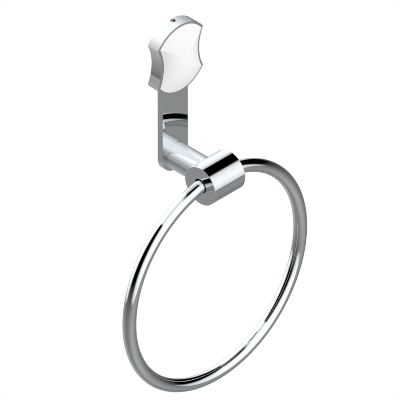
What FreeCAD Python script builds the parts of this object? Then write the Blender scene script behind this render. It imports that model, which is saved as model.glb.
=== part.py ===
import FreeCAD
import Part
import math
import os

from FreeCAD import Vector

# Wall-mounted towel ring, in millimetres
# The wall is the plane Y = 0 and the fitting stands out from it along -Y, with +Z up
# The origin is the centre of the cap, on the wall plane

# Cap: a shallow casting with bowed top and bottom edges and waisted sides
CAP_CORNER_X = 22.8
CAP_CORNER_Z = 16.75
CAP_CROWN_RISE = 12.0
CAP_WAIST_DIP = 3.95
CAP_DEPTH = 10.3
CAP_WALL = 2.2
CAP_EDGE_BREAK = 0.2
RIM_WIDTH = 1.5
RECESS_DEPTH = 2.6
WEB_THICKNESS = 1.7

# Ceramic inlay: an even lip, a small round, then a pillow that rises from every edge to the middle
INLAY_GLUE_GAP = 0.1
INLAY_PROUD = 0.5
INLAY_ROUND = 0.35
PILLOW_RISE = 4.7

# Wall bracket hidden in the cap, sized by the room round it
BRACKET_SIDE_ROOM = 1.65
BRACKET_TOP_ROOM = 1.66
BRACKET_FRONT_ROOM = 1.0
BRACKET_BOTTOM_Z = -3.2
BRACKET_CORNER = 2.0
BRACKET_BEVEL_RISE = 2.6
WALL_HOLE_R = 2.6
WALL_HOLE_FROM_SIDE = 6.0
WALL_HOLE_Z = 8.5
WALL_SINK_R = 4.8

# Ledge in the cap that hooks behind the bracket's bevelled lower edge
LEDGE_WIDTH = 22.0
LEDGE_HEIGHT = 2.7
LEDGE_BACK_GAP = 0.6
HOOK_GAP = 0.1

# Grub screw through the top of the cap, its point biting into the bracket's seat
GRUB_R = 2.0
GRUB_RECESS = 1.4
GRUB_BITE = 0.25
GRUB_OUT = 2.8
GRUB_BOSS_WIDTH = 9.0
GRUB_BOSS_ROOM = 2.3
GRUB_SOCKET_AF = 2.0
GRUB_SOCKET_DEPTH = 2.4

# Strap: a flat bar with a round lower end, running down the wall
STRAP_WIDTH = 25.6
STRAP_THICKNESS = 5.0
STRAP_TOP_GAP = 0.4
STRAP_CORNER = 1.5
STRAP_SLOT_GAP = 0.15
STRAP_EDGE_BREAK = 0.2

# Countersunk screws, through the strap from behind
SCREW_R = 2.0
SCREW_HEAD_R = 3.9
SCREW_FLUSH = 0.1
SCREW_SOCKET_AF = 2.5
SCREW_SOCKET_DEPTH = 1.6
THREAD_GAP = 0.05
CLEAR_GAP = 0.25
STRAP_SCREW_PITCH = 9.5
STRAP_SCREW_FIRST = 6.0
STRAP_SCREW_TIP_ROOM = 0.2
POST_SCREW_SPREAD = 5.2
POST_SCREW_LENGTH = 16.0
TAP_EXTRA = 1.5
BOSS_R = 4.2

# Post, barrel and the stud that joins them
PIVOT_OUT = 45.2
PIVOT_DROP = 86.6
POST_R = 10.25
SEAT_GAP = 0.02
BARREL_R = 15.25
BARREL_LENGTH = 30.4
BARREL_EDGE_BREAK = 0.25
BORE_PLAY = 0.2
BORE_MOUTH_ROUND = 0.5
RELIEF_PLAY = 0.25
POST_FOOT_BREAK = 0.25
STUD_R = 3.0
STUD_IN_BARREL = 6.6
STUD_IN_POST = 7.5

# Ring: a bent tube with its brazed joint hidden in the barrel
RING_R = 86.5
TUBE_R = 5.0
TUBE_WALL = 1.1
RING_LIFT_SHARE = 0.63
SLEEVE_LENGTH = 16.0
SLEEVE_WALL = 1.0
BRAZE_GAP = 0.05

# Worked-out sizes
CAVITY_DEPTH = CAP_DEPTH - RECESS_DEPTH - WEB_THICKNESS
FLOOR_OUT = CAP_DEPTH - RECESS_DEPTH
CROWN_R = (CAP_CORNER_X ** 2 + CAP_CROWN_RISE ** 2) / (2 * CAP_CROWN_RISE)
CROWN_Z = CAP_CORNER_Z + CAP_CROWN_RISE - CROWN_R
WAIST_R = (CAP_CORNER_Z ** 2 + CAP_WAIST_DIP ** 2) / (2 * CAP_WAIST_DIP)
WAIST_X = CAP_CORNER_X - CAP_WAIST_DIP + WAIST_R
CAP_TOP_Z = CAP_CORNER_Z + CAP_CROWN_RISE
BRACKET_HALF = CAP_CORNER_X - CAP_WAIST_DIP - CAP_WALL - BRACKET_SIDE_ROOM
BRACKET_THICKNESS = CAVITY_DEPTH - BRACKET_FRONT_ROOM
BRACKET_TOP_Z = CROWN_Z + math.sqrt((CROWN_R - CAP_WALL) ** 2 - BRACKET_HALF ** 2) - BRACKET_TOP_ROOM
WALL_HOLE_X = BRACKET_HALF - WALL_HOLE_FROM_SIDE
LEDGE_BOTTOM_Z = BRACKET_BOTTOM_Z - HOOK_GAP - LEDGE_HEIGHT
STRAP_TOP_Z = LEDGE_BOTTOM_Z - STRAP_TOP_GAP
STRAP_SCREW_LENGTH = FLOOR_OUT - STRAP_SCREW_TIP_ROOM - SCREW_FLUSH
GRUB_TIP_Z = BRACKET_TOP_Z - GRUB_BITE
GRUB_LENGTH = CAP_TOP_Z - GRUB_RECESS - GRUB_TIP_Z

# The ring's arc sags in the straight bore, so it rests on narrow mouths and arches into a wider middle
RING_SAG = RING_R - math.sqrt(RING_R ** 2 - (BARREL_LENGTH / 2) ** 2)
RING_LIFT = RING_SAG * RING_LIFT_SHARE
RING_CENTRE_Z = RING_LIFT - PIVOT_DROP - RING_R
MOUTH_X = BARREL_LENGTH / 2 - BORE_MOUTH_ROUND
BORE_R = RING_R - RING_LIFT - math.sqrt((RING_R - TUBE_R) ** 2 - MOUTH_X ** 2) + BORE_PLAY
RELIEF_R = TUBE_R + RING_LIFT + RELIEF_PLAY
RELIEF_HALF = math.sqrt((RING_R + TUBE_R) ** 2 - (BORE_R - BORE_PLAY - RING_LIFT + RING_R) ** 2) + RELIEF_PLAY


def place(x, out, z):
    """A point given by its distance out from the wall."""
    return Vector(x, -out, z)


def corner_of_cap(inset):
    """Where an inset crown arc meets an inset waist arc, on the upper right."""
    crown, waist = CROWN_R - inset, WAIST_R + inset
    dx, dz = WAIST_X, -CROWN_Z
    apart = math.hypot(dx, dz)
    along = (crown ** 2 - waist ** 2 + apart ** 2) / (2 * apart)
    across = math.sqrt(crown ** 2 - along ** 2)
    x = dx / apart * along - dz / apart * across
    z = CROWN_Z + dz / apart * along + dx / apart * across
    return x, z


def cap_outline(inset, out):
    """The cap's outline, inset by an even margin, as a face at a distance out from the wall."""
    x, z = corner_of_cap(inset)
    top = CROWN_Z + CROWN_R - inset
    side = WAIST_X - WAIST_R - inset
    arcs = [
        Part.Arc(place(-x, out, z), place(0, out, top), place(x, out, z)),
        Part.Arc(place(x, out, z), place(side, out, 0), place(x, out, -z)),
        Part.Arc(place(x, out, -z), place(0, out, -top), place(-x, out, -z)),
        Part.Arc(place(-x, out, -z), place(-side, out, 0), place(-x, out, z)),
    ]
    return Part.Face(Part.Wire([arc.toShape() for arc in arcs]))


def cap_prism(inset, start, end):
    """A prism of the cap's outline between two distances out from the wall."""
    return cap_outline(inset, start).extrude(place(0, end - start, 0))


def slab(x_half, out_near, out_far, z_low, z_high):
    """A block centred on X = 0."""
    return Part.makeBox(2 * x_half, out_far - out_near, z_high - z_low, place(-x_half, out_far, z_low))


def rod_out(radius, x, z, start, end):
    """A round bar standing out from the wall."""
    return Part.makeCylinder(radius, end - start, place(x, start, z), place(0, 1, 0))


def sink_out(radius, hole_radius, x, z, mouth, direction):
    """A 90 degree countersink, its mouth at a distance out and narrowing along direction."""
    depth = radius - hole_radius
    return Part.makeCone(radius, hole_radius, depth, place(x, mouth, z), place(0, direction, 0))


def hexagon_prism(across_flats, start, length, axis):
    """A hexagon bar for a socket, starting at a point and running along an axis."""
    corner = across_flats / math.sqrt(3)
    side = axis.cross(Vector(1, 0, 0))
    points = []
    for step in range(7):
        turn = math.radians(60 * step)
        points.append(start + Vector(1, 0, 0) * corner * math.cos(turn) + side * corner * math.sin(turn))
    return Part.Face(Part.makePolygon(points)).extrude(axis * length)


def edges_where(shape, wanted):
    """The edges of a shape that pass a test."""
    return [edge for edge in shape.Edges if wanted(edge)]


def lies_at(edge, out):
    """Whether all of an edge lies at one distance out from the wall."""
    box = edge.BoundBox
    return abs(box.YMin + out) < 1e-6 and abs(box.YMax + out) < 1e-6


def strap_screw_heights():
    """The two screws that hold the strap in the cap."""
    first = STRAP_TOP_Z - STRAP_SCREW_FIRST
    return [first, first - STRAP_SCREW_PITCH]


def post_screw_heights():
    """The two screws that hold the post on the strap."""
    return [-PIVOT_DROP + POST_SCREW_SPREAD, -PIVOT_DROP - POST_SCREW_SPREAD]


def make_cap_body():
    """Hollow casting: side wall, web, recess for the inlay, ledge, bosses and strap slot."""
    body = cap_prism(0, 0, CAP_DEPTH)
    front = edges_where(body, lambda edge: lies_at(edge, CAP_DEPTH))
    body = body.makeFillet(CAP_EDGE_BREAK, front)
    cavity = cap_prism(CAP_WALL, 0, CAVITY_DEPTH)
    body = body.cut(cavity)
    body = body.cut(cap_prism(RIM_WIDTH, FLOOR_OUT, CAP_DEPTH + 1))

    boss_low = BRACKET_TOP_Z + GRUB_BOSS_ROOM
    grub_boss = slab(GRUB_BOSS_WIDTH / 2, 0, CAVITY_DEPTH, boss_low, CAP_TOP_Z)
    ledge_top = BRACKET_BOTTOM_Z - HOOK_GAP
    slope = BRACKET_BEVEL_RISE / BRACKET_THICKNESS
    ledge_points = [
        (CAVITY_DEPTH, ledge_top),
        (BRACKET_THICKNESS, ledge_top),
        (LEDGE_BACK_GAP, ledge_top + slope * (BRACKET_THICKNESS - LEDGE_BACK_GAP)),
        (LEDGE_BACK_GAP, LEDGE_BOTTOM_Z),
        (CAVITY_DEPTH, LEDGE_BOTTOM_Z),
    ]
    ledge_wire = [place(-LEDGE_WIDTH / 2, out, z) for out, z in ledge_points + ledge_points[:1]]
    ledge = Part.Face(Part.makePolygon(ledge_wire)).extrude(Vector(LEDGE_WIDTH, 0, 0))
    inner = [grub_boss, ledge]
    for z in strap_screw_heights():
        inner.append(rod_out(BOSS_R, 0, z, STRAP_THICKNESS + SEAT_GAP, CAVITY_DEPTH))
    within = cap_prism(CAP_WALL / 2, 0, CAP_DEPTH)
    body = body.fuse([piece.common(within) for piece in inner])

    slot_half = STRAP_WIDTH / 2 + STRAP_SLOT_GAP
    slot = slab(slot_half, 0, STRAP_THICKNESS + SEAT_GAP, -CAP_TOP_Z - 1, STRAP_TOP_Z + STRAP_TOP_GAP / 2)
    body = body.cut(slot)
    for z in strap_screw_heights():
        body = body.cut(rod_out(SCREW_R + THREAD_GAP, 0, z, 0, CAP_DEPTH))
    grub_hole = Part.makeCylinder(
        GRUB_R + THREAD_GAP,
        CAP_TOP_Z - boss_low + 2,
        place(0, GRUB_OUT, CAP_TOP_Z + 1),
        Vector(0, 0, -1),
    )
    return body.cut(grub_hole).removeSplitter()


def pillow_profile(edge_r, run, beyond):
    """Half section of the inlay from its edge, as a face to revolve about an axis at radius 0.

    The dome runs inward for a negative run and outward for a positive one, then lies flat to beyond.
    """
    inward = math.copysign(1, run)
    floor = FLOOR_OUT + SEAT_GAP
    lip = CAP_DEPTH + INLAY_PROUD
    top = lip + PILLOW_RISE
    round_r = edge_r + inward * INLAY_ROUND
    run_r = edge_r + run
    end_r = run_r + beyond
    span = abs(run_r - round_r)
    dome_r = (span ** 2 + PILLOW_RISE ** 2) / (2 * PILLOW_RISE)
    half = math.asin(span / dome_r) / 2
    corner = INLAY_ROUND * (1 - math.sqrt(0.5))
    dome_mid_r = run_r - inward * dome_r * math.sin(half)
    dome_mid = top - dome_r * (1 - math.cos(half))

    def at(radius, out):
        return Vector(radius, -out, 0)

    edges = [
        Part.makeLine(at(end_r, floor), at(edge_r, floor)),
        Part.makeLine(at(edge_r, floor), at(edge_r, lip - INLAY_ROUND)),
        Part.Arc(
            at(edge_r, lip - INLAY_ROUND),
            at(edge_r + inward * corner, lip - corner),
            at(round_r, lip),
        ).toShape(),
        Part.Arc(at(round_r, lip), at(dome_mid_r, dome_mid), at(run_r, top)).toShape(),
    ]
    if beyond > 0:
        edges.append(Part.makeLine(at(run_r, top), at(end_r, top)))
    edges.append(Part.makeLine(at(end_r, top), at(end_r, floor)))
    return Part.Face(Part.Wire(edges))


def pillow_about(x, z, edge_r, run, beyond):
    """The solid swept by the inlay's half section about an axis through one arc's centre."""
    face = pillow_profile(edge_r, run, beyond)
    solid = face.revolve(Vector(0, 0, 0), Vector(0, 1, 0), 360)
    solid.translate(Vector(x, 0, z))
    return solid


def make_ceramic_inlay():
    """Pillow that falls to all four edges, so hips run in from the corners and fade."""
    inset = RIM_WIDTH + INLAY_GLUE_GAP
    crown, waist = CROWN_R - inset, WAIST_R + inset
    reach = CAP_CORNER_X + CAP_TOP_Z
    inlay = pillow_about(0, CROWN_Z, crown, -crown, 0)
    inlay = inlay.common(pillow_about(0, -CROWN_Z, crown, -crown, 0))
    inlay = inlay.common(pillow_about(WAIST_X, 0, waist, WAIST_X - waist, reach))
    return inlay.common(pillow_about(-WAIST_X, 0, waist, WAIST_X - waist, reach))


def make_wall_bracket():
    """Machined block screwed to the wall, with a bevelled lower edge and a seat for the grub screw."""
    half = BRACKET_HALF
    upper = BRACKET_BOTTOM_Z + BRACKET_BEVEL_RISE
    section = [
        (0, upper),
        (0, BRACKET_TOP_Z),
        (BRACKET_THICKNESS, BRACKET_TOP_Z),
        (BRACKET_THICKNESS, BRACKET_BOTTOM_Z),
    ]
    wire = [place(-half, out, z) for out, z in section + section[:1]]
    bracket = Part.Face(Part.makePolygon(wire)).extrude(Vector(2 * half, 0, 0))
    top_corners = edges_where(
        bracket,
        lambda edge: abs(edge.BoundBox.ZMin - BRACKET_TOP_Z) < 1e-6 and edge.BoundBox.YLength > 1,
    )
    bracket = bracket.makeFillet(BRACKET_CORNER, top_corners)
    for side in (-1, 1):
        x = side * WALL_HOLE_X
        bracket = bracket.cut(rod_out(WALL_HOLE_R, x, WALL_HOLE_Z, -1, BRACKET_THICKNESS + 1))
        bracket = bracket.cut(sink_out(WALL_SINK_R, WALL_HOLE_R, x, WALL_HOLE_Z, BRACKET_THICKNESS, -1))
    seat_depth = BRACKET_TOP_Z - GRUB_TIP_Z + SEAT_GAP
    seat = Part.makeCone(seat_depth, 0, seat_depth, place(0, GRUB_OUT, BRACKET_TOP_Z), Vector(0, 0, -1))
    return bracket.cut(seat)


def make_grub_screw():
    """Cone-point set screw with a hexagon socket, down through the top of the cap."""
    top = CAP_TOP_Z - GRUB_RECESS
    body = Part.makeCylinder(
        GRUB_R,
        GRUB_LENGTH - GRUB_R,
        place(0, GRUB_OUT, top),
        Vector(0, 0, -1),
    )
    point = Part.makeCone(GRUB_R, 0, GRUB_R, place(0, GRUB_OUT, GRUB_TIP_Z + GRUB_R), Vector(0, 0, -1))
    socket = hexagon_prism(GRUB_SOCKET_AF, place(0, GRUB_OUT, top), GRUB_SOCKET_DEPTH, Vector(0, 0, -1))
    return body.fuse(point).cut(socket).removeSplitter()


def make_strap():
    """Flat bar from inside the cap down to a round end behind the post."""
    half = STRAP_WIDTH / 2
    bottom = Part.Arc(
        place(half, 0, -PIVOT_DROP),
        place(0, 0, -PIVOT_DROP - half),
        place(-half, 0, -PIVOT_DROP),
    )
    edges = [
        Part.makeLine(place(-half, 0, -PIVOT_DROP), place(-half, 0, STRAP_TOP_Z)),
        Part.makeLine(place(-half, 0, STRAP_TOP_Z), place(half, 0, STRAP_TOP_Z)),
        Part.makeLine(place(half, 0, STRAP_TOP_Z), place(half, 0, -PIVOT_DROP)),
        bottom.toShape(),
    ]
    strap = Part.Face(Part.Wire(edges)).extrude(place(0, STRAP_THICKNESS, 0))
    top_corners = edges_where(
        strap,
        lambda edge: abs(edge.BoundBox.ZMin - STRAP_TOP_Z) < 1e-6 and edge.BoundBox.YLength > 1,
    )
    strap = strap.makeFillet(STRAP_CORNER, top_corners)
    front = edges_where(strap, lambda edge: lies_at(edge, STRAP_THICKNESS))
    strap = strap.makeFillet(STRAP_EDGE_BREAK, front)
    for z in strap_screw_heights() + post_screw_heights():
        strap = strap.cut(rod_out(SCREW_R + CLEAR_GAP, 0, z, -1, STRAP_THICKNESS + 1))
        strap = strap.cut(sink_out(SCREW_HEAD_R + CLEAR_GAP, SCREW_R + CLEAR_GAP, 0, z, 0, 1))
    return strap


def make_countersunk_screw(z, length):
    """Countersunk screw driven from behind the strap, its head just under the wall plane."""
    head_depth = SCREW_HEAD_R - SCREW_R
    screw = rod_out(SCREW_R, 0, z, SCREW_FLUSH, SCREW_FLUSH + length)
    head = Part.makeCone(SCREW_HEAD_R, SCREW_R, head_depth, place(0, SCREW_FLUSH, z), place(0, 1, 0))
    socket = hexagon_prism(SCREW_SOCKET_AF, place(0, SCREW_FLUSH, z), SCREW_SOCKET_DEPTH, place(0, 1, 0))
    return screw.fuse(head).cut(socket).removeSplitter()


def make_post():
    """Round post from the strap, its end coped to sit on the barrel."""
    start = STRAP_THICKNESS
    post = rod_out(POST_R, 0, -PIVOT_DROP, start, PIVOT_OUT)
    post = post.makeChamfer(POST_FOOT_BREAK, edges_where(post, lambda edge: lies_at(edge, start)))
    post = post.cut(barrel_cylinder(BARREL_R + SEAT_GAP, BARREL_LENGTH + 2 * POST_R))
    for z in post_screw_heights():
        depth = SCREW_FLUSH + POST_SCREW_LENGTH + TAP_EXTRA
        post = post.cut(rod_out(SCREW_R + THREAD_GAP, 0, z, start, depth))
    stud_start = PIVOT_OUT - BARREL_R - STUD_IN_POST
    post = post.cut(rod_out(STUD_R + THREAD_GAP, 0, -PIVOT_DROP, stud_start - TAP_EXTRA, PIVOT_OUT))
    return post


def barrel_cylinder(radius, length):
    """A cylinder along X on the ring's pivot axis."""
    return Part.makeCylinder(radius, length, place(-length / 2, PIVOT_OUT, -PIVOT_DROP), Vector(1, 0, 0))


def make_barrel():
    """Barrel that holds the ring: bore with rounded mouths and a wider middle, tapped from the wall side."""
    barrel = barrel_cylinder(BARREL_R, BARREL_LENGTH)
    rims = edges_where(barrel, lambda edge: edge.BoundBox.XLength < 1e-6)
    barrel = barrel.makeFillet(BARREL_EDGE_BREAK, rims)
    barrel = barrel.cut(barrel_cylinder(BORE_R, BARREL_LENGTH + 2))
    mouths = edges_where(
        barrel,
        lambda edge: edge.BoundBox.XLength < 1e-6 and edge.BoundBox.ZLength < BORE_R + BARREL_R,
    )
    barrel = barrel.makeFillet(BORE_MOUTH_ROUND, mouths)
    barrel = barrel.cut(barrel_cylinder(RELIEF_R, 2 * RELIEF_HALF))
    tap_end = PIVOT_OUT - BARREL_R + STUD_IN_BARREL + TAP_EXTRA / 2
    return barrel.cut(rod_out(STUD_R + THREAD_GAP, 0, -PIVOT_DROP, PIVOT_OUT - BARREL_R - 1, tap_end))


def make_barrel_stud():
    """Threaded stud, half in the post and half in the barrel."""
    seat = PIVOT_OUT - BARREL_R
    stud = rod_out(STUD_R, 0, -PIVOT_DROP, seat - STUD_IN_POST, seat + STUD_IN_BARREL)
    ends = edges_where(stud, lambda edge: edge.BoundBox.YLength < 1e-6)
    return stud.makeChamfer(STUD_R / 6, ends)


def bent_tube(outer, inner, half_angle):
    """A length of the ring's tube about its top, or all of it for a half angle of 180 degrees."""
    centre = place(0, PIVOT_OUT, RING_CENTRE_Z)
    axis = Vector(0, 1, 0)
    start = math.radians(90 - half_angle)
    middle = centre + Vector(math.cos(start) * RING_R, 0, math.sin(start) * RING_R)
    along = Vector(-math.sin(start), 0, math.cos(start))
    wall = Part.Face(Part.Wire([Part.makeCircle(outer, middle, along)]))
    if inner > 0:
        wall = wall.cut(Part.Face(Part.Wire([Part.makeCircle(inner, middle, along)])))
    return wall.Faces[0].revolve(centre, -axis, 2 * half_angle)


def make_ring():
    """The towel ring, a closed round of tube."""
    centre = place(0, PIVOT_OUT, RING_CENTRE_Z)
    ring = Part.makeTorus(RING_R, TUBE_R, centre, Vector(0, 1, 0))
    return ring.cut(Part.makeTorus(RING_R, TUBE_R - TUBE_WALL, centre, Vector(0, 1, 0)))


def make_ring_sleeve():
    """Short sleeve inside the tube that lines up the ring's two ends at the brazed joint."""
    outer = TUBE_R - TUBE_WALL - BRAZE_GAP
    half_angle = math.degrees(SLEEVE_LENGTH / 2 / RING_R)
    return bent_tube(outer, outer - SLEEVE_WALL, half_angle)


def build():
    """Every piece, by the name of its node."""
    strap_high, strap_low = strap_screw_heights()
    post_high, post_low = post_screw_heights()
    return {
        "cap_body": make_cap_body(),
        "ceramic_inlay": make_ceramic_inlay(),
        "cap_grub_screw": make_grub_screw(),
        "wall_bracket": make_wall_bracket(),
        "strap": make_strap(),
        "strap_screw_upper": make_countersunk_screw(strap_high, STRAP_SCREW_LENGTH),
        "strap_screw_lower": make_countersunk_screw(strap_low, STRAP_SCREW_LENGTH),
        "post": make_post(),
        "post_screw_upper": make_countersunk_screw(post_high, POST_SCREW_LENGTH),
        "post_screw_lower": make_countersunk_screw(post_low, POST_SCREW_LENGTH),
        "barrel": make_barrel(),
        "barrel_stud": make_barrel_stud(),
        "ring": make_ring(),
        "ring_sleeve": make_ring_sleeve(),
    }


def main():
    os.makedirs("parts", exist_ok=True)
    for name, shape in build().items():
        solids = shape.Solids
        if len(solids) != 1:
            raise RuntimeError(f"{name} came out as {len(solids)} solids")
        solid = solids[0]
        if not solid.isValid():
            raise RuntimeError(f"{name} isn't a valid solid")
        solid.exportStep(f"parts/{name}.step")
        print(name, round(solid.Volume, 1))


main()
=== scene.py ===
"""Looks for the towel ring: chrome, glazed ceramic and the hidden fixings, in a plain photo studio."""

import math

import bmesh
import bpy
from bpy.props import FloatProperty, FloatVectorProperty, PointerProperty
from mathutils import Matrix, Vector


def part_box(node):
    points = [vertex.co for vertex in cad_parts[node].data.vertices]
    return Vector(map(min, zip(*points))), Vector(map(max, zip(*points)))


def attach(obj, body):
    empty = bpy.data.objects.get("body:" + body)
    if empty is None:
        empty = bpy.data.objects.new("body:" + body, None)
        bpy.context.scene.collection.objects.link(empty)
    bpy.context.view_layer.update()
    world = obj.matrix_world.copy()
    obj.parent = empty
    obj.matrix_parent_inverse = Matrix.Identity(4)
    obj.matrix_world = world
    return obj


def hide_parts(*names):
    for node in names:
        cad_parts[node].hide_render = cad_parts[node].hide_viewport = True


bl_info = {
    "name": "Towel ring",
    "version": (1, 0, 0),
    "blender": (4, 5, 0),
    "location": "3D Viewport > Sidebar > Towel Ring",
    "description": "Finishes and photo studio for a chrome towel ring with a ceramic inlay",
    "category": "Object",
}

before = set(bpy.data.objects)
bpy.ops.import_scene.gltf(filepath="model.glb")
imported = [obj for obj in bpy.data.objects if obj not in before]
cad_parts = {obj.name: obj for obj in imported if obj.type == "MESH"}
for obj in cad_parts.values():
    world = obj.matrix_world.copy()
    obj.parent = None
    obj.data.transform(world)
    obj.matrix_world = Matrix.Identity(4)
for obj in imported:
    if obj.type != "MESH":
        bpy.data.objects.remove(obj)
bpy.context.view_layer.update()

MM = 0.001
CHROME_NODES = ("cap_body", "strap", "post", "barrel")
COUNTERSUNK_NODES = ("strap_screw_upper", "strap_screw_lower", "post_screw_upper", "post_screw_lower")

# The cap's outline, from the same sizes as the solid's: its corners, how far its crowns rise
# above them and how far its waists dip between them
CAP_CORNER_X = 22.8 * MM
CAP_CORNER_Z = 16.75 * MM
CAP_CROWN_RISE = 12.0 * MM
CAP_WAIST_DIP = 3.95 * MM
CROWN_R = (CAP_CORNER_X**2 + CAP_CROWN_RISE**2) / (2 * CAP_CROWN_RISE)
CROWN_Z = CAP_CORNER_Z + CAP_CROWN_RISE - CROWN_R
WAIST_R = (CAP_CORNER_Z**2 + CAP_WAIST_DIP**2) / (2 * CAP_WAIST_DIP)
WAIST_X = CAP_CORNER_X - CAP_WAIST_DIP + WAIST_R

# The inlay's section. Its glue line is 0.15 mm wider than in the solids, so that it shows as dark
# as in the photograph, and the pillow ends in a small flat at its middle
RIM_WIDTH = 1.5 * MM
GLUE_LINE = 0.25 * MM
INLAY_INSET = RIM_WIDTH + GLUE_LINE
INLAY_ROUND = 0.35 * MM
PILLOW_RISE = 4.7 * MM
PILLOW_FLAT = 1.5 * MM

# How finely the two new pieces are meshed: the outline's arcs by the quarter, and the tube
CROWN_FACETS = 44
WAIST_FACETS = 28
ROUND_FACETS = 5
DOME_FACETS = 34
TUBE_FACETS = 64
RING_STEPS = 360
MERGE_DISTANCE = 0.001 * MM
# The new ring stays this far inside the solid's own box
RING_INSET = 0.002 * MM

# Threads: coarse pitches, the grooves' depth as a share of them, and how far out from the wall
# the countersunk heads end
M4_PITCH = 0.7 * MM
M6_PITCH = 1.0 * MM
GROOVE_DEPTH = 0.6
HEADS_END = 2.0 * MM
# The wave texture's bands repeat at this distance when its scale is 1
BAND_PERIOD = math.pi / 10

# Sizes of the marks that working leaves on each material, and how much they sway its blur
BUFFING_MARKS = 4 * MM
GLAZE_MARKS = 6 * MM
SAND_GRAIN = 0.4 * MM
TOOL_MARKS = 0.3 * MM
DRAWING_MARKS = 0.5 * MM
POLISHED_SWAY = 0.1
WORKED_SWAY = 0.25
ZINC_BLUR = 0.45
STEEL_BLUR = (0.22, 0.38)
BRASS_BLUR = 0.25
GLAZE_SHEEN = 0.15

# Camera, lamps and floor, in metres and, for the sensor, millimetres
SENSOR_WIDTH = 36.0
CLIP_MARGIN = 10
KEY_PLACE = (0.75, -2.6, 1.55)
FILL_PLACE = (0.1, -3.0, 0.0)
LAMP_SIZE = 1.2
FLOOR_SIZE = 8.0
FLOOR_PAINT = "BEBEBE"
PIXEL_FILTER = 1.0

# Where the studio's parts meet, for a direction of length 1. Each pair is the start and end of a
# soft edge, by the direction's height, its height over its depth or its height over its width.
WALL_SHADE = (-0.3, 0.2)
WALL_SHADE_LEVEL = 0.76
WALL_FOOT = (-0.475, -0.32)
CARD_TOP = (1.6, 1.8)

# The ceiling: a grey panel and a dark opening, by depth over height from a line a little behind
# the middle, and the opening's left edge and far end by width over height
CEILING_SHIFT = 0.12
PANEL_EDGE = (0.02, 0.43)
PANEL_LEVEL = 0.6
OPENING_EDGE = (0.16, 0.64)
OPENING_LEFT = (-0.08, 0.035)
OPENING_END = (0.2, 0.28)
OPENING_END_LEVEL = 0.04

# Greys of the studio's floor by the height of the direction, -1 straight down
BESIDE_FLOOR = (
    (-1.0, "7B7B7B"),
    (-0.5, "6F6F6F"),
    (-0.3, "626262"),
    (-0.15, "505050"),
    (0.0, "303030"),
    (0.08, "000000"),
)
FRONT_FLOOR = (
    (-1.0, "7E7E7E"),
    (-0.97, "999999"),
    (-0.85, "A5A5A5"),
    (-0.65, "A0A0A0"),
    (-0.44, "959595"),
    (0.1, "000000"),
)

# Brightness of the studio's walls by degrees round from the front: white, with a dark card on each side
WALL_LEVELS = (
    (-180, 1.35),
    (-146, 1.05),
    (-136, 0.84),
    (-128, 0.55),
    (-124.5, 0.29),
    (-121.5, 0.0),
    (-66.5, 0.0),
    (-60.5, 0.08),
    (-51.5, 0.44),
    (-43, 0.81),
    (-33, 1.0),
    (0, 1.3),
    (33, 0.98),
    (45, 0.84),
    (53.8, 0.62),
    (55.8, 0.4),
    (60.8, 0.0),
    (121.5, 0.0),
    (124.5, 0.36),
    (128, 0.63),
    (138, 0.93),
    (180, 1.35),
)


def linear(hex_colour):
    """An sRGB hex colour as linear red, green and blue."""
    levels = [int(hex_colour[place : place + 2], 16) / 255 for place in (0, 2, 4)]
    return tuple(
        level / 12.92 if level <= 0.04045 else ((level + 0.055) / 1.055) ** 2.4
        for level in levels
    )


def add_node(tree, kind, options=None, values=None, links=None):
    """Adds a node with its options, its sockets' values and the sources linked into it."""
    node = tree.nodes.new(kind)
    for name, option in (options or {}).items():
        setattr(node, name, option)
    for socket, value in (values or {}).items():
        node.inputs[socket].default_value = value
    for socket, source in (links or {}).items():
        tree.links.new(source, node.inputs[socket])
    return node


def colour_property(name, description, hex_colour):
    """A colour that a user may change."""
    return FloatVectorProperty(
        name=name,
        description=description,
        subtype="COLOR",
        size=3,
        min=0.0,
        max=1.0,
        default=linear(hex_colour),
    )


def share_property(name, description, default):
    """A value from 0 to 1 that a user may change."""
    return FloatProperty(
        name=name,
        description=description,
        subtype="FACTOR",
        min=0.0,
        max=1.0,
        default=default,
    )


class FinishSettings(bpy.types.PropertyGroup):
    """Colours and surface finish of the pieces."""

    chrome_colour: colour_property("Chrome", "Reflection colour of the chrome plate", "E3E7EA")
    chrome_roughness: share_property("Chrome roughness", "Blur of what the plate reflects", 0.01)
    glaze_colour: colour_property("Glaze", "Colour of the inlay's white glaze", "F1F1F1")
    glaze_roughness: share_property("Glaze roughness", "Blur of what the glaze reflects", 0.25)
    zinc_colour: colour_property("Zinc", "Colour of the bracket's plated zinc", "A9ABAD")
    steel_colour: colour_property("Steel", "Colour of the screws' plain steel", "B0B0B2")
    brass_colour: colour_property("Brass", "Colour of the sleeve's brass", "D9B25F")


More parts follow.
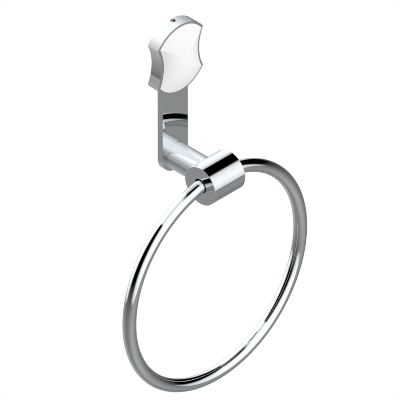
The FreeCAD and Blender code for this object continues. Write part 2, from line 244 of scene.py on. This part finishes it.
class StudioSettings(bpy.types.PropertyGroup):
    """The photo studio round the piece."""

    light: FloatProperty(
        name="Wall brightness",
        description="Brightness of the studio's white walls, where 1 shows as white",
        min=0.0,
        max=4.0,
        default=1.27,
    )
    key_power: FloatProperty(
        name="Key lamp",
        description="Power of the soft lamp above, in front and to the right",
        subtype="POWER",
        min=0.0,
        max=200.0,
        default=71.0,
    )
    fill_power: FloatProperty(
        name="Fill lamp",
        description="Power of the soft lamp straight in front",
        subtype="POWER",
        min=0.0,
        max=200.0,
        default=35.0,
    )
    azimuth: FloatProperty(
        name="Camera azimuth",
        description="Turn of the camera about the vertical, 0 looking straight at the wall",
        unit="ROTATION",
        default=math.radians(-45.0),
    )
    elevation: FloatProperty(
        name="Camera elevation",
        description="Height of the camera above the level",
        unit="ROTATION",
        default=math.atan(math.sqrt(0.5)),
    )
    view_width: FloatProperty(
        name="View width",
        description="Width that the camera takes in at the piece",
        unit="LENGTH",
        default=285.7 * MM,
    )
    view_centre: FloatVectorProperty(
        name="View centre",
        description="Point that the camera looks at",
        subtype="TRANSLATION",
        unit="LENGTH",
        default=(0.86 * MM, -29.01 * MM, -114.74 * MM),
    )
    lens: FloatProperty(
        name="Lens",
        description="Focal length in millimetres, long enough to keep parallel edges parallel",
        unit="CAMERA",
        min=50.0,
        max=1700.0,
        default=1650.0,
    )
    floor_drop: FloatProperty(
        name="Floor drop",
        description="Height of the piece's origin above the floor",
        unit="LENGTH",
        default=1.25,
    )


def new_material(name):
    """An empty node material and its tree."""
    material = bpy.data.materials.new(name)
    material.use_nodes = True
    material.node_tree.nodes.clear()
    return material, material.node_tree


def marks_between(tree, size, low, high):
    """Blotches of a real size on the piece's own coordinates, between two values."""
    place = add_node(tree, "ShaderNodeTexCoord")
    noise = add_node(
        tree,
        "ShaderNodeTexNoise",
        values={"Scale": 1.0 / size, "Detail": 3.0},
        links={"Vector": place.outputs["Object"]},
    )
    return add_node(
        tree,
        "ShaderNodeMapRange",
        values={"To Min": low, "To Max": high},
        links={"Value": noise.outputs["Fac"]},
    )


def polished_chrome(finish):
    """Bright electroplated chromium: a near-perfect mirror with a faint cool tint."""
    material, tree = new_material("polished_chrome_plate")
    blur = finish.chrome_roughness
    # buffing leaves blotches of very slightly softer reflection a few millimetres across
    wear = marks_between(tree, BUFFING_MARKS, blur * (1 - POLISHED_SWAY), blur * (1 + POLISHED_SWAY))
    shader = add_node(
        tree,
        "ShaderNodeBsdfPrincipled",
        values={"Base Color": (*finish.chrome_colour, 1.0), "Metallic": 1.0},
        links={"Roughness": wear.outputs[0]},
    )
    add_node(tree, "ShaderNodeOutputMaterial", links={"Surface": shader.outputs[0]})
    return material


def glazed_ceramic(finish):
    """White satin-glazed ceramic: bright, soft and with only a faint sheen."""
    material, tree = new_material("white_glazed_ceramic")
    blur = finish.glaze_roughness
    wear = marks_between(tree, GLAZE_MARKS, blur * (1 - POLISHED_SWAY), blur * (1 + POLISHED_SWAY))
    shader = add_node(
        tree,
        "ShaderNodeBsdfPrincipled",
        values={"Base Color": (*finish.glaze_colour, 1.0), "Specular IOR Level": GLAZE_SHEEN},
        links={"Roughness": wear.outputs[0]},
    )
    add_node(tree, "ShaderNodeOutputMaterial", links={"Surface": shader.outputs[0]})
    return material


def worked_metal(name, colour, blur, grain):
    """Metal left as cast or drawn, its sheen broken up by a grain of a real size."""
    material, tree = new_material(name)
    wear = marks_between(tree, grain, blur * (1 - WORKED_SWAY), blur * (1 + WORKED_SWAY))
    shader = add_node(
        tree,
        "ShaderNodeBsdfPrincipled",
        values={"Base Color": (*colour, 1.0), "Metallic": 1.0},
        links={"Roughness": wear.outputs[0]},
    )
    add_node(tree, "ShaderNodeOutputMaterial", links={"Surface": shader.outputs[0]})
    return material


def threaded_steel(name, colour, axis, pitch, heads_end=0.0):
    """Machined steel with the grooves of a thread along an axis, from where the screws' heads end."""
    material, tree = new_material(name)
    place = add_node(tree, "ShaderNodeTexCoord")
    grooves = add_node(
        tree,
        "ShaderNodeTexWave",
        {"bands_direction": axis, "wave_profile": "TRI"},
        {"Scale": BAND_PERIOD / pitch},
        {"Vector": place.outputs["Object"]},
    )
    axes = add_node(tree, "ShaderNodeSeparateXYZ", links={0: place.outputs["Object"]})
    shaft = add_node(
        tree,
        "ShaderNodeMath",
        {"operation": "LESS_THAN"},
        {1: -heads_end},
        {0: axes.outputs["Y"]},
    )
    cut = add_node(
        tree,
        "ShaderNodeMath",
        {"operation": "MULTIPLY"},
        links={0: grooves.outputs["Fac"], 1: shaft.outputs[0]},
    )
    relief = add_node(
        tree,
        "ShaderNodeBump",
        values={"Distance": pitch * GROOVE_DEPTH},
        links={"Height": cut.outputs[0]},
    )
    wear = marks_between(tree, TOOL_MARKS, *STEEL_BLUR)
    shader = add_node(
        tree,
        "ShaderNodeBsdfPrincipled",
        values={"Base Color": (*colour, 1.0), "Metallic": 1.0},
        links={"Roughness": wear.outputs[0], "Normal": relief.outputs[0]},
    )
    add_node(tree, "ShaderNodeOutputMaterial", links={"Surface": shader.outputs[0]})
    return material


def finish_nodes(names, material):
    """Gives every material slot of these solids one material."""
    for name in names:
        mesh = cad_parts[name].data
        mesh.materials.clear()
        mesh.materials.append(material)


def fill_ramp(ramp, stops):
    """Sets a colour ramp's stops and returns its colour socket."""
    elements = ramp.color_ramp.elements
    while len(elements) < len(stops):
        elements.new(1.0)
    for element, (place, colour) in zip(elements, sorted(stops)):
        element.position = place
        element.color = (*colour, 1.0)
    return ramp.outputs["Color"]


def wall_by_azimuth(tree, azimuth):
    """Brightness of the walls going round, in radians from the front, + towards +X."""
    share = add_node(
        tree,
        "ShaderNodeMath",
        {"operation": "MULTIPLY_ADD"},
        {1: 0.5 / math.pi, 2: 0.5},
        {0: azimuth},
    )
    ramp = add_node(tree, "ShaderNodeValToRGB", links={0: share.outputs[0]})
    return fill_ramp(ramp, [(degrees / 360 + 0.5, (level,) * 3) for degrees, level in WALL_LEVELS])


def floor_by_height(tree, height, greys):
    """Grey of the studio's floor by the height of the direction."""
    share = add_node(
        tree,
        "ShaderNodeMath",
        {"operation": "MULTIPLY_ADD"},
        {1: 0.5, 2: 0.5},
        {0: height},
    )
    ramp = add_node(tree, "ShaderNodeValToRGB", links={0: share.outputs[0]})
    return fill_ramp(ramp, [((z + 1) / 2, linear(grey)) for z, grey in greys])


def ceiling_light(tree, across, depth, height):
    """A grey panel over the middle and left of the ceiling, and a dark opening over the right."""
    sideways = add_node(
        tree,
        "ShaderNodeMath",
        {"operation": "DIVIDE"},
        links={0: across, 1: height},
    )
    inward = add_node(
        tree,
        "ShaderNodeMath",
        {"operation": "DIVIDE"},
        links={0: depth, 1: height},
    )
    shifted = add_node(
        tree,
        "ShaderNodeMath",
        {"operation": "ADD"},
        {1: CEILING_SHIFT},
        {0: inward.outputs[0]},
    )
    off_middle = add_node(
        tree,
        "ShaderNodeMath",
        {"operation": "ABSOLUTE"},
        links={0: shifted.outputs[0]},
    )
    panel = add_node(
        tree,
        "ShaderNodeMapRange",
        {"interpolation_type": "SMOOTHSTEP"},
        {"From Min": PANEL_EDGE[0], "From Max": PANEL_EDGE[1], "To Min": PANEL_LEVEL, "To Max": 1.0},
        {"Value": off_middle.outputs[0]},
    )
    end_glow = add_node(
        tree,
        "ShaderNodeMapRange",
        values={"From Min": OPENING_END[0], "From Max": OPENING_END[1], "To Max": OPENING_END_LEVEL},
        links={"Value": sideways.outputs[0]},
    )
    opening = add_node(
        tree,
        "ShaderNodeMapRange",
        {"interpolation_type": "SMOOTHSTEP"},
        {"From Min": OPENING_EDGE[0], "From Max": OPENING_EDGE[1], "To Max": 1.0},
        {"Value": off_middle.outputs[0], "To Min": end_glow.outputs[0]},
    )
    right = add_node(
        tree,
        "ShaderNodeMapRange",
        values={"From Min": OPENING_LEFT[0], "From Max": OPENING_LEFT[1]},
        links={"Value": sideways.outputs[0]},
    )
    return add_node(
        tree,
        "ShaderNodeMix",
        links={0: right.outputs[0], 2: panel.outputs[0], 3: opening.outputs[0]},
    )


def standing_light(tree, level, height, beside_floor):
    """Brightness of the walls, a little darker low down, and the floor's glow on the cards' feet."""
    shade = add_node(
        tree,
        "ShaderNodeMapRange",
        {"interpolation_type": "SMOOTHSTEP"},
        {"From Min": WALL_SHADE[0], "From Max": WALL_SHADE[1], "To Min": WALL_SHADE_LEVEL, "To Max": 1.0},
        {"Value": height},
    )
    walls = add_node(
        tree,
        "ShaderNodeMath",
        {"operation": "MULTIPLY"},
        links={0: level, 1: shade.outputs[0]},
    )
    return add_node(
        tree,
        "ShaderNodeMath",
        {"operation": "MAXIMUM"},
        links={0: walls.outputs[0], 1: beside_floor},
    )


def studio_light(tree):
    """Brightness of the studio in each direction, where 1 shows as white in the chrome."""
    place = add_node(tree, "ShaderNodeTexCoord")
    axes = add_node(tree, "ShaderNodeSeparateXYZ", links={0: place.outputs["Generated"]})
    across, depth, height = axes.outputs
    front = add_node(tree, "ShaderNodeMath", {"operation": "MULTIPLY"}, {1: -1.0}, {0: depth})
    azimuth = add_node(
        tree,
        "ShaderNodeMath",
        {"operation": "ARCTAN2"},
        links={0: across, 1: front.outputs[0]},
    )
    beside_floor = floor_by_height(tree, height, BESIDE_FLOOR)
    level = wall_by_azimuth(tree, azimuth.outputs[0])
    standing = standing_light(tree, level, height, beside_floor)

    # the walls and cards end short of the ceiling
    wide = add_node(tree, "ShaderNodeMath", {"operation": "ABSOLUTE"}, links={0: across})
    climb = add_node(
        tree,
        "ShaderNodeMath",
        {"operation": "DIVIDE"},
        links={0: height, 1: wide.outputs[0]},
    )
    above = add_node(
        tree,
        "ShaderNodeMapRange",
        {"interpolation_type": "SMOOTHSTEP"},
        {"From Min": CARD_TOP[0], "From Max": CARD_TOP[1]},
        {"Value": climb.outputs[0]},
    )
    ceiling = ceiling_light(tree, across, depth, height)
    upper = add_node(
        tree,
        "ShaderNodeMix",
        links={0: above.outputs[0], 2: standing.outputs[0], 3: ceiling.outputs[0]},
    )

    # the floor is lit from the front and behind, and falls off towards the cards
    front_floor = floor_by_height(tree, height, FRONT_FLOOR)
    sway = add_node(tree, "ShaderNodeMath", {"operation": "COSINE"}, links={0: azimuth.outputs[0]})
    facing = add_node(
        tree,
        "ShaderNodeMath",
        {"operation": "MULTIPLY"},
        links={0: sway.outputs[0], 1: sway.outputs[0]},
    )
    floor = add_node(
        tree,
        "ShaderNodeMix",
        links={0: facing.outputs[0], 2: beside_floor, 3: front_floor},
    )

    # the white walls in front and behind start a little below the level
    far = add_node(tree, "ShaderNodeMath", {"operation": "ABSOLUTE"}, links={0: depth})
    slope = add_node(
        tree,
        "ShaderNodeMath",
        {"operation": "DIVIDE"},
        links={0: height, 1: far.outputs[0]},
    )
    foot = add_node(
        tree,
        "ShaderNodeMapRange",
        {"interpolation_type": "SMOOTHSTEP"},
        {"From Min": WALL_FOOT[0], "From Max": WALL_FOOT[1]},
        {"Value": slope.outputs[0]},
    )
    return add_node(
        tree,
        "ShaderNodeMix",
        links={0: foot.outputs[0], 2: floor.outputs[0], 3: upper.outputs[0]},
    )


def studio_world(studio):
    """White walls in front and behind, a dark card on each side, a grey floor and a dim ceiling."""
    world = bpy.data.worlds.new("photo_studio")
    world.use_nodes = True
    tree = world.node_tree
    tree.nodes.clear()
    lit = studio_light(tree)
    mirrored = add_node(
        tree,
        "ShaderNodeMath",
        {"operation": "MULTIPLY"},
        {1: studio.light},
        {0: lit.outputs[0]},
    )
    # seen straight it is plain white, and the lamps light what is matt
    seen = add_node(tree, "ShaderNodeLightPath")
    strength = add_node(
        tree,
        "ShaderNodeMath",
        {"operation": "MULTIPLY_ADD"},
        links={
            0: mirrored.outputs[0],
            1: seen.outputs["Is Glossy Ray"],
            2: seen.outputs["Is Camera Ray"],
        },
    )
    shade = add_node(
        tree,
        "ShaderNodeBackground",
        values={"Color": (1.0, 1.0, 1.0, 1.0)},
        links={"Strength": strength.outputs[0]},
    )
    add_node(tree, "ShaderNodeOutputWorld", links={"Surface": shade.outputs[0]})
    return world


def floor_material():
    """Matt white studio paint, shown as plain white to the camera and open from below."""
    material, tree = new_material("matt_white_floor")
    # the white is only for the camera, so the floor isn't used as a lamp
    material.cycles.emission_sampling = "NONE"
    paint = add_node(tree, "ShaderNodeBsdfDiffuse", values={"Color": (*linear(FLOOR_PAINT), 1.0)})
    white = add_node(tree, "ShaderNodeEmission", values={"Strength": 1.0})
    seen = add_node(tree, "ShaderNodeLightPath")
    shown = add_node(
        tree,
        "ShaderNodeMixShader",
        links={0: seen.outputs["Is Camera Ray"], 1: paint.outputs[0], 2: white.outputs[0]},
    )
    side = add_node(tree, "ShaderNodeNewGeometry")
    clear = add_node(tree, "ShaderNodeBsdfTransparent")
    top_only = add_node(
        tree,
        "ShaderNodeMixShader",
        links={0: side.outputs["Backfacing"], 1: shown.outputs[0], 2: clear.outputs[0]},
    )
    add_node(tree, "ShaderNodeOutputMaterial", links={"Surface": top_only.outputs[0]})
    return material


def studio_floor(studio):
    """A plain floor far below the piece, which hangs on a wall."""
    form = bmesh.new()
    bmesh.ops.create_grid(form, x_segments=1, y_segments=1, size=FLOOR_SIZE)
    bmesh.ops.translate(form, verts=form.verts, vec=(0.0, 0.0, -studio.floor_drop))
    mesh = bpy.data.meshes.new("studio_floor")
    form.to_mesh(mesh)
    form.free()
    floor = bpy.data.objects.new("studio_floor", mesh)
    bpy.context.scene.collection.objects.link(floor)
    mesh.materials.append(floor_material())
    floor.visible_glossy = False


def soft_lamp(name, place, power):
    """A wide lamp that shapes the matt surfaces and that the chrome doesn't mirror."""
    data = bpy.data.lights.new(name, "AREA")
    data.shape = "DISK"
    data.size = LAMP_SIZE
    data.energy = power
    lamp = bpy.data.objects.new(name, data)
    lamp.location = place
    lamp.rotation_euler = Vector(place).to_track_quat("Z", "Y").to_euler()
    lamp.visible_glossy = False
    bpy.context.scene.collection.objects.link(lamp)


def photo_camera(studio):
    """A distant camera with a very long lens, at the photograph's angle."""
    data = bpy.data.cameras.new("photo_camera")
    data.lens = studio.lens
    data.sensor_width = SENSOR_WIDTH
    distance = studio.view_width * studio.lens / SENSOR_WIDTH
    data.clip_end = distance * CLIP_MARGIN
    camera = bpy.data.objects.new("photo_camera", data)
    flat = math.cos(studio.elevation)
    back = Vector(
        (
            math.sin(studio.azimuth) * flat,
            -math.cos(studio.azimuth) * flat,
            math.sin(studio.elevation),
        )
    )
    camera.location = Vector(studio.view_centre) + back * distance
    camera.rotation_euler = back.to_track_quat("Z", "Y").to_euler()
    bpy.context.scene.collection.objects.link(camera)
    bpy.context.scene.camera = camera


def smooth_piece(name, form, material, sharp=()):
    """A smooth object from finished geometry, with its place in the mesh."""
    bmesh.ops.recalc_face_normals(form, faces=form.faces)
    for face in form.faces:
        face.smooth = True
    for edge in sharp:
        edge.smooth = False
    mesh = bpy.data.meshes.new(name)
    form.to_mesh(mesh)
    form.free()
    mesh.materials.append(material)
    piece = bpy.data.objects.new(name, mesh)
    bpy.context.scene.collection.objects.link(piece)
    return piece


def ring_piece(material):
    """The ring's tube, bent round in far finer facets than the solid's own mesh."""
    low, high = (Vector(corner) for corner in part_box("ring"))
    # a hair inside the solid's own box, whose facets cut the curve's corners
    reach = (high.x - low.x) / 2 - RING_INSET
    tube = (high.y - low.y) / 2
    centre = Vector(((low.x + high.x) / 2, (low.y + high.y) / 2, low.z + (high.x - low.x) / 2))
    middle = centre + Vector((reach - tube, 0.0, 0.0))
    form = bmesh.new()
    bmesh.ops.create_circle(form, segments=TUBE_FACETS, radius=tube)
    bmesh.ops.translate(form, verts=form.verts, vec=middle)
    bmesh.ops.spin(
        form,
        geom=form.verts[:] + form.edges[:],
        cent=centre,
        axis=(0.0, 1.0, 0.0),
        angle=2 * math.pi,
        steps=RING_STEPS,
        use_merge=True,
    )
    bmesh.ops.remove_doubles(form, verts=form.verts, dist=MERGE_DISTANCE)
    return smooth_piece("chrome_ring", form, material)


def inlay_outline(crown, waist):
    """Points round a shape like the inlay's, from the radii of its crown arcs and waist arcs."""
    apart = math.hypot(WAIST_X, CROWN_Z)
    along = (crown**2 - waist**2 + apart**2) / (2 * apart)
    across = math.sqrt(crown**2 - along**2)
    corner_x = (WAIST_X * along + CROWN_Z * across) / apart
    corner_z = CROWN_Z + (WAIST_X * across - CROWN_Z * along) / apart
    crown_turn = math.atan2(corner_x, corner_z - CROWN_Z)
    waist_turn = math.asin(corner_z / waist)
    quarter = []
    for step in range(CROWN_FACETS):
        turn = crown_turn * step / CROWN_FACETS
        quarter.append((crown * math.sin(turn), CROWN_Z + crown * math.cos(turn)))
    for step in range(WAIST_FACETS + 1):
        turn = waist_turn * (1 - step / WAIST_FACETS)
        quarter.append((WAIST_X - waist * math.cos(turn), waist * math.sin(turn)))
    half = quarter + [(x, -z) for x, z in reversed(quarter[:-1])]
    return half + [(-x, z) for x, z in reversed(half[1:-1])]


def inlay_section(floor_out, lip_out):
    """Radii of the crown and waist arcs, and distance out, for each loop from back to top."""
    crown, waist = CROWN_R - INLAY_INSET, WAIST_R + INLAY_INSET
    section = [(crown, waist, floor_out)]
    for step in range(ROUND_FACETS + 1):
        turn = math.pi / 2 * step / ROUND_FACETS
        inset = INLAY_ROUND * (1 - math.cos(turn))
        section.append((crown - inset, waist + inset, lip_out - INLAY_ROUND * (1 - math.sin(turn))))
    crown_dome = ((crown - INLAY_ROUND) ** 2 + PILLOW_RISE**2) / (2 * PILLOW_RISE)
    waist_span = WAIST_X - waist - INLAY_ROUND
    waist_dome = (waist_span**2 + PILLOW_RISE**2) / (2 * PILLOW_RISE)
    for step in range(1, DOME_FACETS + 1):
        from_middle = waist_span + (PILLOW_FLAT - waist_span) * step / DOME_FACETS
        drop = waist_dome - math.sqrt(waist_dome**2 - from_middle**2)
        crown_here = math.sqrt(2 * crown_dome * drop - drop**2)
        section.append((crown_here, WAIST_X - from_middle, lip_out + PILLOW_RISE - drop))
    return section


def inlay_piece(material):
    """The ceramic pillow, as loops of its outline that shrink and rise towards the middle."""
    low, high = (Vector(corner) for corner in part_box("ceramic_inlay"))
    section = inlay_section(-high.y, -low.y - PILLOW_RISE)
    form = bmesh.new()
    order = form.verts.layers.int.new("order")
    bmesh.ops.create_circle(form, segments=4 * (CROWN_FACETS + WAIST_FACETS), radius=1.0)
    for number, vert in enumerate(form.verts):
        vert[order] = number
    verts, edges = form.verts[:], form.edges[:]
    back = edges
    for level, (crown, waist, out) in enumerate(section):
        if level:
            made = bmesh.ops.extrude_edge_only(form, edges=edges)["geom"]
            verts = [item for item in made if isinstance(item, bmesh.types.BMVert)]
            edges = [item for item in made if isinstance(item, bmesh.types.BMEdge)]
        outline = inlay_outline(crown, waist)
        for vert in verts:
            x, z = outline[vert[order]]
            vert.co = (x, -out, z)
    bmesh.ops.edgeloop_fill(form, edges=back)
    bmesh.ops.edgeloop_fill(form, edges=edges)
    return smooth_piece("ceramic_pillow", form, material, back)


def join_model(piece, body, node):
    """The piece moves with a body and stands for a solid."""
    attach(piece, body)
    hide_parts(node)


class TOWELRING_OT_chrome(bpy.types.Operator):
    """Give the cap, strap, post and barrel their chrome plate and add the ring"""

    bl_idname = "towelring.chrome"
    bl_label = "Chrome pieces"

    def execute(self, context):
        chrome = polished_chrome(context.scene.towelring_finish)
        finish_nodes(CHROME_NODES, chrome)
        join_model(ring_piece(chrome), "hanging_ring", "ring")
        return {"FINISHED"}


class TOWELRING_OT_ceramic(bpy.types.Operator):
    """Add the white-glazed inlay"""

    bl_idname = "towelring.ceramic"
    bl_label = "Ceramic inlay"

    def execute(self, context):
        glaze = glazed_ceramic(context.scene.towelring_finish)
        join_model(inlay_piece(glaze), "wall_fitting", "ceramic_inlay")
        return {"FINISHED"}


class TOWELRING_OT_fixings(bpy.types.Operator):
    """Give the hidden bracket, screws and sleeve their plain metals"""

    bl_idname = "towelring.fixings"
    bl_label = "Fixings"

    def execute(self, context):
        finish = context.scene.towelring_finish
        # die-cast zinc under a thin bright plate: dull grey with a fine sand grain
        zinc = worked_metal("plated_zinc_casting", finish.zinc_colour, ZINC_BLUR, SAND_GRAIN)
        # machined steel: tool marks finer than the render shows, drawn a little coarser, and rolled threads
        screws = threaded_steel("m4_screw_steel", finish.steel_colour, "Y", M4_PITCH, HEADS_END)
        grub = threaded_steel("m4_grub_screw_steel", finish.steel_colour, "Z", M4_PITCH)
        stud = threaded_steel("m6_stud_steel", finish.steel_colour, "Y", M6_PITCH)
        # drawn brass tube: warm and smooth
        brass = worked_metal("drawn_brass", finish.brass_colour, BRASS_BLUR, DRAWING_MARKS)
        finish_nodes(["wall_bracket"], zinc)
        finish_nodes(COUNTERSUNK_NODES, screws)
        finish_nodes(["cap_grub_screw"], grub)
        finish_nodes(["barrel_stud"], stud)
        finish_nodes(["ring_sleeve"], brass)
        return {"FINISHED"}


class TOWELRING_OT_stage(bpy.types.Operator):
    """Set up the floor, the studio's light and the camera"""

    bl_idname = "towelring.stage"
    bl_label = "Studio"

    def execute(self, context):
        studio = context.scene.towelring_studio
        studio_floor(studio)
        context.scene.world = studio_world(studio)
        soft_lamp("key_lamp", KEY_PLACE, studio.key_power)
        soft_lamp("fill_lamp", FILL_PLACE, studio.fill_power)
        photo_camera(studio)
        context.scene.view_settings.view_transform = "Standard"
        # the photograph's edges are crisp
        context.scene.cycles.filter_width = PIXEL_FILTER
        return {"FINISHED"}


class TOWELRING_PT_panel(bpy.types.Panel):
    """Lists the towel ring's operators and settings"""

    bl_idname = "TOWELRING_PT_panel"
    bl_label = "Towel Ring"
    bl_space_type = "VIEW_3D"
    bl_region_type = "UI"
    bl_category = "Towel Ring"

    def draw(self, context):
        for operator in OPERATORS:
            self.layout.operator(operator.bl_idname)
        for settings in (context.scene.towelring_finish, context.scene.towelring_studio):
            for name in settings.__annotations__:
                self.layout.prop(settings, name)


OPERATORS = (
    TOWELRING_OT_chrome,
    TOWELRING_OT_ceramic,
    TOWELRING_OT_fixings,
    TOWELRING_OT_stage,
)
CLASSES = (FinishSettings, StudioSettings, *OPERATORS, TOWELRING_PT_panel)


def register():
    for cls in CLASSES:
        bpy.utils.register_class(cls)
    bpy.types.Scene.towelring_finish = PointerProperty(type=FinishSettings)
    bpy.types.Scene.towelring_studio = PointerProperty(type=StudioSettings)


def unregister():
    del bpy.types.Scene.towelring_studio
    del bpy.types.Scene.towelring_finish
    for cls in reversed(CLASSES):
        bpy.utils.unregister_class(cls)


def main():
    register()
    bpy.ops.towelring.chrome()
    bpy.ops.towelring.ceramic()
    bpy.ops.towelring.fixings()
    bpy.ops.towelring.stage()


if __name__ == "__main__":
    main()
